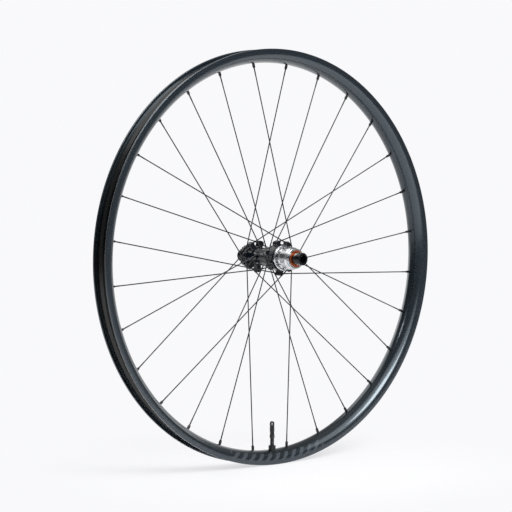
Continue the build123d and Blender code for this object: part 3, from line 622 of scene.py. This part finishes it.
class WheelStageSettings(bpy.types.PropertyGroup):
    """Camera, lamps and floor."""

    lens: FloatProperty(name="Lens", description="Focal length in millimetres", default=125.15)
    camera_place: FloatVectorProperty(
        name="Camera",
        description="Where the camera stands",
        subtype="TRANSLATION",
        default=(-1.72799, -2.10387, 0.13978),
    )
    camera_azimuth: FloatProperty(
        name="Azimuth",
        description="Turn of the view round the wheel",
        subtype="ANGLE",
        default=math.radians(-38.89),
    )
    camera_elevation: FloatProperty(
        name="Elevation", description="Height of the view", subtype="ANGLE", default=math.radians(2.90)
    )
    key_light: FloatProperty(
        name="Key light", description="Brightness of the soft box's face, where 1 is white", default=1.2
    )
    core_light: FloatProperty(
        name="Core light",
        description="Brightness of the soft box's middle and of the small lamp",
        default=8.4,
    )
    top_light: FloatProperty(name="Top light", description="Brightness of the box overhead", default=0.2)
    strip_light: FloatProperty(
        name="Strip light", description="Brightness of the two boxes behind the wheel", default=0.85
    )
    room_light: FloatProperty(name="Room light", description="Even light from all round", default=0.2)
    backdrop_light: FloatProperty(
        name="Backdrop light", description="Light from the band behind the wheel", default=0.15
    )
    backdrop_mirrored: FloatProperty(
        name="Backdrop mirrored",
        description="How much of the pale backdrop gloss and metal show",
        subtype="FACTOR",
        default=0.45,
    )
    floor_glow: FloatProperty(
        name="Floor glow",
        description="How far the floor at the wheel takes the backdrop's tone",
        subtype="FACTOR",
        default=0.7,
    )
    floor_colour: FloatVectorProperty(
        name="Floor", description="Pale floor", subtype="COLOR", size=4, default=linear("#F9F9FB")
    )


SETTINGS = {
    "wheel_rim": WheelRimSettings,
    "wheel_threads": WheelThreadSettings,
    "wheel_finish": WheelFinishSettings,
    "wheel_stage": WheelStageSettings,
}


def arc_points(centre, radius, start, stop, count):
    """Points on an arc, from one angle to another, in degrees."""
    turns = [math.radians(start + (stop - start) * i / count) for i in range(count + 1)]
    return [(centre[0] + radius * math.cos(t), centre[1] + radius * math.sin(t)) for t in turns]


def rim_section(rim):
    """The outline of the rim's section, as distances along the axle and from it: the sides, then the bed."""
    outer = rim.bead_seat_radius + rim.flange_height
    nose = outer - rim.depth
    half = rim.width / 2
    bed_half = half - rim.flange_wall
    rounding = rim.flange_rounding
    tilt = rim.wall_tilt
    lean = math.degrees(tilt)
    # How many steps each arc is drawn in
    curve_steps, wall_steps, edge_steps = 12, 6, 5
    outline = []
    for sign in (-1, 1):
        # The wall leans in by its tilt, then the side curve turns it towards the nose
        wall_middle = (half - rim.wall_curve, outer - rounding)
        side_middle = (
            wall_middle[0] + (rim.wall_curve - rim.side_curve) * math.cos(tilt),
            wall_middle[1] - (rim.wall_curve - rim.side_curve) * math.sin(tilt),
        )
        across = side_middle[0] - sign * rim.nose_offset
        down = side_middle[1] - nose
        nose_curve = (across**2 + down**2 - rim.side_curve**2) / (2 * (down - rim.side_curve))
        meeting = math.degrees(math.atan2(down - nose_curve, across))
        nose_arc = arc_points((0, nose + nose_curve), nose_curve, -90, meeting, curve_steps)
        flank = [(y + sign * rim.nose_offset, r) for y, r in nose_arc]
        flank += arc_points(side_middle, rim.side_curve, meeting, -lean, curve_steps)[1:]
        flank += arc_points(wall_middle, rim.wall_curve, -lean, 0, wall_steps)[1:]
        flank = [(sign * y, r) for y, r in flank]
        outline += flank[1:] if sign > 0 else flank[::-1]
    outline += arc_points((half - rounding, outer - rounding), rounding, 0, 90, edge_steps)[1:]
    outline += arc_points((bed_half + rounding, outer - rounding), rounding, 90, 180, edge_steps)
    shelf = bed_half - rim.shelf_width
    channel = rim.channel_width / 2
    bed = [
        (bed_half, rim.bead_seat_radius),
        (shelf, rim.bead_seat_radius),
        (channel, rim.bead_seat_radius - rim.channel_depth),
    ]
    outline += bed + [(-y, r) for y, r in reversed(bed)]
    outline += arc_points((-bed_half - rounding, outer - rounding), rounding, 0, 90, edge_steps)
    outline += arc_points((-half + rounding, outer - rounding), rounding, 90, 180, edge_steps)[:-1]
    return outline


class WHEEL_OT_rim(bpy.types.Operator):
    """Make the rim's smooth skin from its section, and dress the tape in its bed"""

    bl_idname = "wheel.rim"
    bl_label = "Rim and tape"

    def execute(self, context):
        rim = context.scene.wheel_rim
        section = bpy.data.meshes.new("rim_section")
        section.from_pydata([(0, y, r) for y, r in rim_section(rim)], [], [])
        made = from_tree(
            "rim_skin",
            section,
            swept_section_tree(),
            {
                "Steps": rim.steps,
                "Vent Radius": rim.vent_diameter / 2,
                "Vent Place": (rim.vent_radius, -rim.width / 2, 0),
                "Material": finish("carbon_laminate_clear_lacquer"),
            },
            "wheel",
            sharp_angle=24.0,
        )
        outward = bmesh.new()
        outward.from_mesh(made.data)
        bmesh.ops.recalc_face_normals(outward, faces=outward.faces)
        outward.to_mesh(made.data)
        outward.free()
        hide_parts("rim")
        smoothed("rim_tape_skin", ["rim_tape"], finish("polyester_tape_film"), "wheel")
        return {"FINISHED"}


class WHEEL_OT_spokes(bpy.types.Operator):
    """Dress the spokes and their nipples"""

    bl_idname = "wheel.spokes"
    bl_label = "Spokes and nipples"

    def execute(self, context):
        spokes = sorted(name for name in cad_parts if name.startswith("spoke_"))
        smoothed("spoke_wires", spokes, finish("stainless_wire_black_oxide"), "wheel")
        smoothed("nipple_set", ["nipples"], finish("aluminium_black_anodised"), "wheel")
        return {"FINISHED"}


class WHEEL_OT_hub(bpy.types.Operator):
    """Dress the hub shell, its toothed ring, bearings and seals"""

    bl_idname = "wheel.hub"
    bl_label = "Hub"

    def execute(self, context):
        black = finish("aluminium_polished_black_anodised")
        smoothed("hub_shell_skin", ["hub_shell"], black, "wheel")
        steel = [
            "drive_ring",
            "drive_side_shell_bearing_outer_ring",
            "disc_side_shell_bearing_outer_ring",
            "shell_bearing_balls",
        ]
        paint(steel, finish("bearing_steel_ground"))
        rubber = finish("nitrile_rubber_moulded")
        smoothed("disc_side_seal_skin", ["disc_side_seal"], rubber, "wheel")
        return {"FINISHED"}


class WHEEL_OT_freehub(bpy.types.Operator):
    """Dress the freehub and its pawls, and cut the thread at its end"""

    bl_idname = "wheel.freehub"
    bl_label = "Freehub"

    def execute(self, context):
        threads = context.scene.wheel_threads
        bright = finish("aluminium_bright_turned")
        orange = finish("aluminium_orange_anodised")
        smoothed("freehub_skin", ["freehub_body"], bright, "freehub")
        smoothed("freehub_end_ring_skin", ["freehub_end_ring"], orange, "freehub")
        steel = [
            "inner_freehub_bearing_outer_ring",
            "outer_freehub_bearing_outer_ring",
            "freehub_bearing_balls",
            "pawl_springs",
            "pawl_1",
            "pawl_2",
            "pawl_3",
        ]
        paint(steel, finish("bearing_steel_ground"))
        paint(["freehub_inner_seal"], finish("nitrile_rubber_moulded"))
        outer_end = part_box("freehub_body")[0][1]
        from_tree(
            "freehub_thread",
            bpy.data.meshes.new("freehub_thread"),
            thread_tree(),
            {
                "Radius": threads.freehub_radius,
                "Length": threads.freehub_length,
                "Turns": threads.freehub_turns,
                "Crest": threads.freehub_crest,
                "Place": (0, outer_end + threads.freehub_start, 0),
                "Tilt": math.pi / 2,
                "Material": bright,
            },
            "freehub",
            sharp_angle=50.0,
        )
        return {"FINISHED"}


class WHEEL_OT_axle(bpy.types.Operator):
    """Dress the axle, its spacers, the bearings' inner rings and the end caps"""

    bl_idname = "wheel.axle"
    bl_label = "Axle and end caps"

    def execute(self, context):
        caps = ["drive_side_end_cap", "disc_side_end_cap"]
        satin = finish("aluminium_satin_black_anodised")
        smoothed("end_cap_skins", caps, satin, "axle_set")
        paint(["axle", "bearing_spacers"], finish("aluminium_bright_turned"))
        rings = [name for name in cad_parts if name.endswith("inner_ring")]
        paint(rings, finish("bearing_steel_ground"))
        return {"FINISHED"}


class WHEEL_OT_valve(bpy.types.Operator):
    """Dress the valve, and wind the thread on its stem"""

    bl_idname = "wheel.valve"
    bl_label = "Valve"

    def execute(self, context):
        threads = context.scene.wheel_threads
        black = finish("aluminium_black_anodised_valve")
        rubber = finish("nitrile_rubber_moulded")
        smoothed("valve_stem_skin", ["valve_stem", "valve_core"], black, "wheel")
        smoothed("valve_nut_skin", ["valve_lock_nut"], black, "wheel")
        smoothed("valve_seal_skin", ["valve_seals"], rubber, "wheel")
        smoothed("valve_cap_skin", ["valve_cap"], black, "valve_cap")
        nut_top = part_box("valve_lock_nut")[1][2]
        cap_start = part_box("valve_cap")[0][2]
        length = cap_start - nut_top - 2 * threads.valve_gap
        from_tree(
            "valve_thread",
            bpy.data.meshes.new("valve_thread"),
            thread_tree(),
            {
                "Radius": threads.valve_radius,
                "Length": length,
                "Turns": length / threads.valve_pitch,
                "Crest": threads.valve_crest,
                "Place": (0, threads.valve_offset, nut_top + threads.valve_gap),
                "Tilt": 0.0,
                "Material": black,
            },
            "wheel",
            sharp_angle=50.0,
        )
        return {"FINISHED"}


# Each lamp's direction from the wheel, round it and up, in degrees, its distance and its face in metres, and
# the setting that gives its brightness
SOFT_BOXES = {
    "front_soft_box": (-92, 45, 2.2, (2.8, 2.6), "key_light"),
    "front_box_core": (-92, 40, 2.1, (1.0, 1.1), "core_light"),
    "overhead_soft_box": (-92, 88, 2.2, (2.0, 2.0), "top_light"),
    "left_back_lamp": (165, 38, 2.2, (0.3, 0.3), "core_light"),
    "left_strip_box": (95, 24, 2.2, (1.5, 2.3), "strip_light"),
    "right_strip_box": (-3, 7, 2.2, (1.2, 0.9), "strip_light"),
}


def soft_box(name, azimuth, elevation, distance, size, brightness):
    """A soft box that faces the wheel. Its brightness is that of its face, where 1 is white."""
    azimuth, elevation = math.radians(azimuth), math.radians(elevation)
    lamp = bpy.data.lights.new(name, "AREA")
    lamp.shape = "RECTANGLE"
    lamp.size, lamp.size_y = size
    lamp.energy = 4 * brightness * size[0] * size[1]
    made = bpy.data.objects.new(name, lamp)
    level = math.cos(elevation)
    away = Vector((math.cos(azimuth) * level, math.sin(azimuth) * level, math.sin(elevation)))
    made.location = distance * away
    made.rotation_euler = away.to_track_quat("Z", "Y").to_euler()
    made.visible_camera = False
    bpy.context.scene.collection.objects.link(made)


def floor_emulsion(stage, back):
    """White studio floor, emulsion painted: pale, with a roller's stipple, and with the wheel's shadow."""
    material, tree, shader, place = new_material("studio_floor_white_emulsion")
    # The roller's stipple is about 3 mm across
    stipple = add_node(tree, "ShaderNodeTexNoise", {"Vector": place, "Scale": 1 / 3, "Detail": 2.0})
    tones = {0: stipple, 6: linear("#F6F6F8"), 7: stage.floor_colour}
    tone = add_node(tree, "ShaderNodeMix", tones, data_type="RGBA")
    feed(tree, shader, {"Base Color": tone, "Roughness": 0.8, "Specular IOR Level": 0.1})
    # Behind the wheel, gloss and metal mirror the floor as they do the backdrop, wholly from 900 mm away
    mirrored_from = 900.0
    path = add_node(tree, "ShaderNodeLightPath").outputs
    rays = {0: path["Is Glossy Ray"], 1: path["Is Transmission Ray"]}
    through = add_node(tree, "ShaderNodeMath", rays, operation="MAXIMUM")
    dimmed = add_node(tree, "ShaderNodeMath", {0: through, 1: stage.backdrop_mirrored}, operation="MULTIPLY")
    beyond = add_node(tree, "ShaderNodeVectorMath", {0: place, 1: -back}, operation="DOT_PRODUCT")
    mirrored = add_node(tree, "ShaderNodeMapRange", {0: beyond, 1: 0.0, 2: mirrored_from, 4: dimmed})
    seen = add_node(tree, "ShaderNodeMath", {0: path["Is Camera Ray"], 1: mirrored}, operation="MAXIMUM")
    # The floor runs into the backdrop with no edge: its glow grows from the wheel's foot, 317 mm from the
    # middle of the axle, and is full from 540 mm
    glow_grows, glow_full = 320.0, 540.0
    distance = add_node(tree, "ShaderNodeVectorMath", {0: place}, operation="LENGTH")
    far = add_node(
        tree,
        "ShaderNodeMapRange",
        {0: distance, 1: glow_grows, 2: glow_full, 3: stage.floor_glow, 4: 1.0},
        interpolation_type="SMOOTHSTEP",
    )
    share = add_node(tree, "ShaderNodeMath", {0: seen, 1: far}, operation="MULTIPLY")
    glow = add_node(tree, "ShaderNodeEmission", {0: stage.floor_colour, 1: 1.0})
    mixed = add_node(tree, "ShaderNodeMixShader", {0: share, 1: shader, 2: glow})
    feed(tree, tree.get_output_node("CYCLES"), {"Surface": mixed})
    return material


def studio_world(stage, back):
    """The room: a pale backdrop to the eye, and for its light a band behind the wheel in a dimmer room."""
    world = bpy.data.worlds.new("Studio")
    world.use_nodes = True
    tree = world.node_tree
    tree.nodes.clear()
    away = add_node(tree, "ShaderNodeTexCoord").outputs["Generated"]
    # The band ends softly at its sides and above and below, by the cosine from straight behind and by the
    # sine of the height
    side_ends, side_full = 0.2, 0.5
    top_full, top_ends = 0.3, 0.55
    behind = add_node(tree, "ShaderNodeVectorMath", {0: away, 1: -back}, operation="DOT_PRODUCT")
    wide = add_node(
        tree, "ShaderNodeMapRange", {0: behind, 1: side_ends, 2: side_full}, interpolation_type="SMOOTHSTEP"
    )
    rise = add_node(tree, "ShaderNodeSeparateXYZ", {0: away}).outputs["Z"]
    level = add_node(tree, "ShaderNodeMath", {0: rise}, operation="ABSOLUTE")
    band = add_node(
        tree,
        "ShaderNodeMapRange",
        {0: level, 1: top_full, 2: top_ends, 3: wide, 4: 0.0},
        interpolation_type="SMOOTHSTEP",
    )
    # The room is darker on the left of the picture
    left_way = (-0.77, 0.64, 0.0)
    left_starts, left_full, left_share = 0.45, 0.9, 0.4
    left = add_node(tree, "ShaderNodeVectorMath", {0: away, 1: left_way}, operation="DOT_PRODUCT")
    dim = add_node(
        tree,
        "ShaderNodeMapRange",
        {0: left, 1: left_starts, 2: left_full, 3: stage.room_light, 4: left_share * stage.room_light},
        interpolation_type="SMOOTHSTEP",
    )
    lights = {0: band, 1: stage.backdrop_light, 2: dim}
    strength = add_node(tree, "ShaderNodeMath", lights, operation="MULTIPLY_ADD")
    room = add_node(tree, "ShaderNodeBackground", {0: (1, 1, 1, 1), 1: strength})
    pale = add_node(tree, "ShaderNodeBackground", {0: stage.floor_colour, 1: 1.0})
    # The eye sees the pale backdrop all round; metal and glass mirror it where it stands, behind the wheel
    path = add_node(tree, "ShaderNodeLightPath").outputs
    rays = {0: path["Is Glossy Ray"], 1: path["Is Transmission Ray"]}
    through = add_node(tree, "ShaderNodeMath", rays, operation="MAXIMUM")
    mirrored = add_node(tree, "ShaderNodeMath", {0: through, 1: band}, operation="MULTIPLY")
    share = add_node(tree, "ShaderNodeMath", {0: mirrored, 1: stage.backdrop_mirrored}, operation="MULTIPLY")
    seen = add_node(tree, "ShaderNodeMath", {0: path["Is Camera Ray"], 1: share}, operation="MAXIMUM")
    mixed = add_node(tree, "ShaderNodeMixShader", {0: seen, 1: room, 2: pale})
    add_node(tree, "ShaderNodeOutputWorld", {0: mixed})
    return world


class WHEEL_OT_stage(bpy.types.Operator):
    """Set the camera, the pale floor and the soft studio light"""

    bl_idname = "wheel.stage"
    bl_label = "Studio"

    def execute(self, context):
        scene = context.scene
        rim, stage = scene.wheel_rim, scene.wheel_stage
        scene.view_settings.view_transform = "Standard"

        camera = bpy.data.cameras.new("Camera")
        camera.lens = stage.lens
        camera.sensor_width = 36
        camera.clip_end = 1000
        turn, rise = stage.camera_azimuth, stage.camera_elevation
        back = Vector((math.sin(turn) * math.cos(rise), -math.cos(turn) * math.cos(rise), math.sin(rise)))
        viewer = bpy.data.objects.new("Camera", camera)
        viewer.location = stage.camera_place
        viewer.rotation_euler = (-back).to_track_quat("-Z", "Y").to_euler()
        scene.collection.objects.link(viewer)
        scene.camera = viewer

        # The floor lies just under the rim, and reaches so far that its edge can't be seen
        reach, gap = 300.0, 0.0001
        height = -(rim.bead_seat_radius + rim.flange_height) - gap
        sides = ((-1, -1), (1, -1), (1, 1), (-1, 1))
        corners = [(x * reach, y * reach, height) for x, y in sides]
        floor_mesh = bpy.data.meshes.new("floor")
        floor_mesh.from_pydata(corners, [], [(0, 1, 2, 3)])
        floor = bpy.data.objects.new("floor", floor_mesh)
        scene.collection.objects.link(floor)
        floor_mesh.materials.append(floor_emulsion(stage, back))

        scene.world = studio_world(stage, back)
        for name, (azimuth, elevation, distance, size, light) in SOFT_BOXES.items():
            soft_box(name, azimuth, elevation, distance, size, getattr(stage, light))
        return {"FINISHED"}


OPERATORS = (
    WHEEL_OT_stage,
    WHEEL_OT_rim,
    WHEEL_OT_spokes,
    WHEEL_OT_hub,
    WHEEL_OT_freehub,
    WHEEL_OT_axle,
    WHEEL_OT_valve,
)


class WHEEL_PT_panel(bpy.types.Panel):
    """Lists the wheel's pieces and their settings"""

    bl_idname = "WHEEL_PT_panel"
    bl_label = "Bicycle wheel"
    bl_space_type = "VIEW_3D"
    bl_region_type = "UI"
    bl_category = "Wheel"

    def draw(self, context):
        layout = self.layout
        for operator in OPERATORS:
            layout.operator(operator.bl_idname)
        for group_name, group in SETTINGS.items():
            box = layout.box()
            for name in group.__annotations__:
                box.prop(getattr(context.scene, group_name), name)


CLASSES = (*SETTINGS.values(), *OPERATORS, WHEEL_PT_panel)


def register():
    """Adds the settings, the operators and the panel."""
    for cls in CLASSES:
        bpy.utils.register_class(cls)
    for name, group in SETTINGS.items():
        setattr(bpy.types.Scene, name, PointerProperty(type=group))


def unregister():
    """Takes them away again."""
    for name in SETTINGS:
        delattr(bpy.types.Scene, name)
    for cls in reversed(CLASSES):
        bpy.utils.unregister_class(cls)


def main():
    """Makes every piece."""
    register()
    for operator in OPERATORS:
        group, name = operator.bl_idname.split(".")
        getattr(getattr(bpy.ops, group), name)()


if __name__ == "__main__":
    main()
